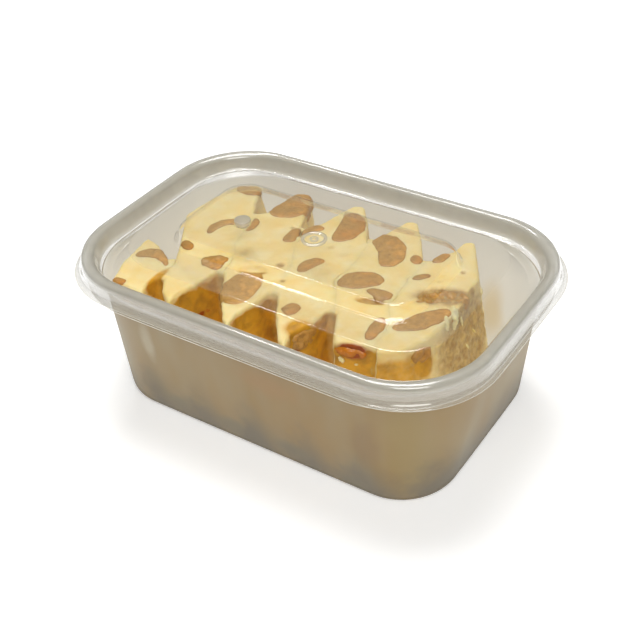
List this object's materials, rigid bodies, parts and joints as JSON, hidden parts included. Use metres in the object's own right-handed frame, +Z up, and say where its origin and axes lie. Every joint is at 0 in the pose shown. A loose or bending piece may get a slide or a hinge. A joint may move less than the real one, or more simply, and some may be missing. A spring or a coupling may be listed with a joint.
{
  "type": "cashew halva",
  "caption": "Slices of pale cream halva with cashews cut through at the top, packed side by side in a frosted rectangular tub with a clear snap lid and raised centre panel.",
  "frame": {"origin": "middle of the tub's base, at the level it stands on", "axes": "+X along the tub's length, +Y towards the long side away from the viewer, +Z up"},
  "size_m": [0.175, 0.1182, 0.0689],
  "materials": {
    "tub_plastic": "frosted translucent polypropylene",
    "lid_plastic": "clear, slightly hazy polypropylene",
    "halva": "dense moist sweet, knife-cut, satin",
    "cashew": "cut roasted nut, satin"
  },
  "bodies": {
    "root": {"tub": "tub_plastic", "lid": "lid_plastic", "slice_a": "halva", "slice_b": "halva", "slice_c": "halva", "slice_d": "halva", "slice_e": "halva", "slice_f": "halva", "cashew_a1": "cashew", "cashew_a2": "cashew", "cashew_b1": "cashew", "cashew_b2": "cashew", "cashew_b3": "cashew", "cashew_b4": "cashew", "cashew_b5": "cashew", "cashew_c1": "cashew", "cashew_c2": "cashew", "cashew_c3": "cashew", "cashew_c4": "cashew", "cashew_d1": "cashew", "cashew_d2": "cashew", "cashew_d3": "cashew", "cashew_d4": "cashew", "cashew_d5": "cashew", "cashew_e1": "cashew", "cashew_e2": "cashew", "cashew_e3": "cashew", "cashew_e4": "cashew", "cashew_e5": "cashew", "cashew_e6": "cashew", "cashew_f1": "cashew", "cashew_f2": "cashew", "cashew_f3": "cashew", "cashew_f4": "cashew", "cashew_f5": "cashew"}
  },
  "joints": []
}
